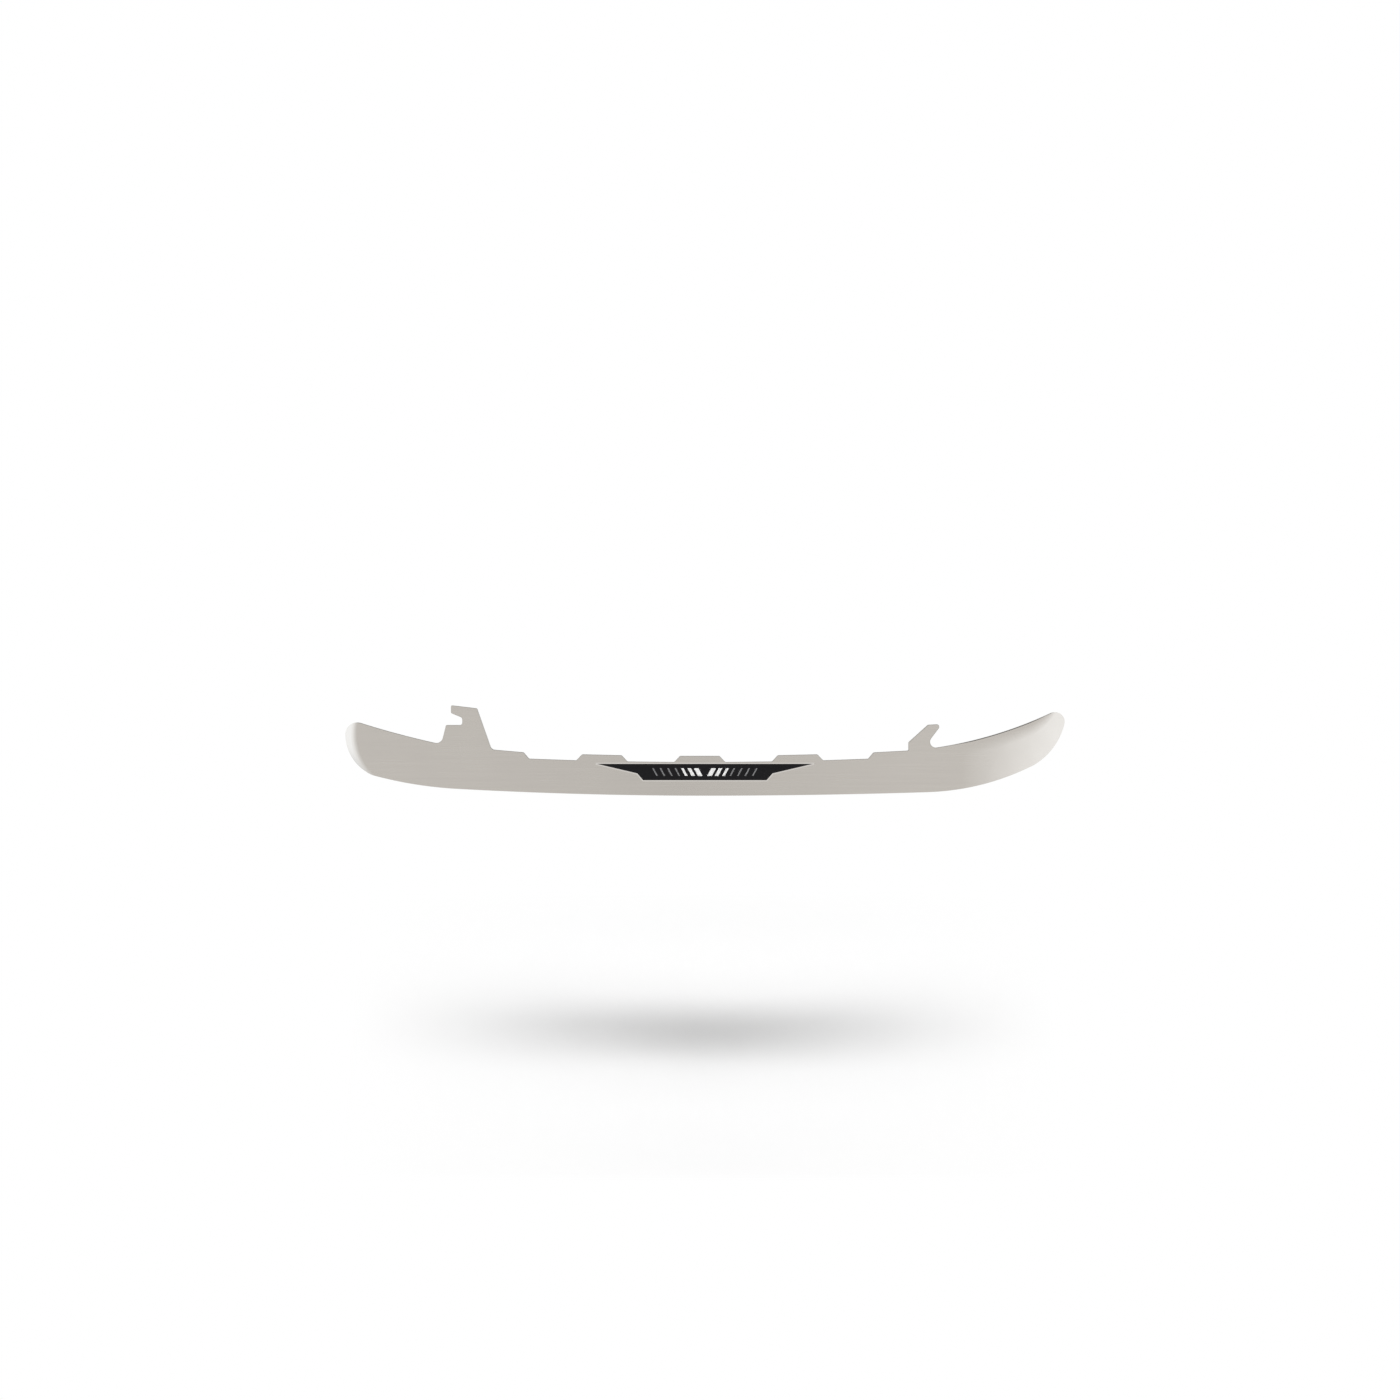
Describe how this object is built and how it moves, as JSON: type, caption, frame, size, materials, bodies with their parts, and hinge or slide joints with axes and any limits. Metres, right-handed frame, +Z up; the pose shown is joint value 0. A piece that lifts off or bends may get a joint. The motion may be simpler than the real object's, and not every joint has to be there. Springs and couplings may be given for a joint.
{
  "type": "hockey skate runner",
  "caption": "Flat stainless steel ice hockey skate blade with a rockered, hollow-ground edge, a notched heel post, a toe hook, seating tabs and a thin printed label on each face.",
  "frame": {"origin": "middle of the length and of the steel's thickness, on the lowest point of the running edge", "axes": "+X towards the toe, +Y to the skate's left, +Z up, away from the ice"},
  "size_m": [0.28, 0.0032, 0.0351],
  "materials": {
    "blade_steel": "satin ground stainless steel, polished at the toe and on the heel bevel",
    "label_film": "clear satin film, through which the steel shows",
    "black_ink": "satin black print",
    "grey_ink": "satin grey print",
    "white_ink": "satin white print"
  },
  "bodies": {
    "root": {"runner": "blade_steel", "label_film_right": "label_film", "label_ink_right": "black_ink", "label_grey_bars_right": "grey_ink", "label_white_bars_right": "white_ink", "label_film_left": "label_film", "label_ink_left": "black_ink", "label_grey_bars_left": "grey_ink", "label_white_bars_left": "white_ink"}
  },
  "joints": []
}
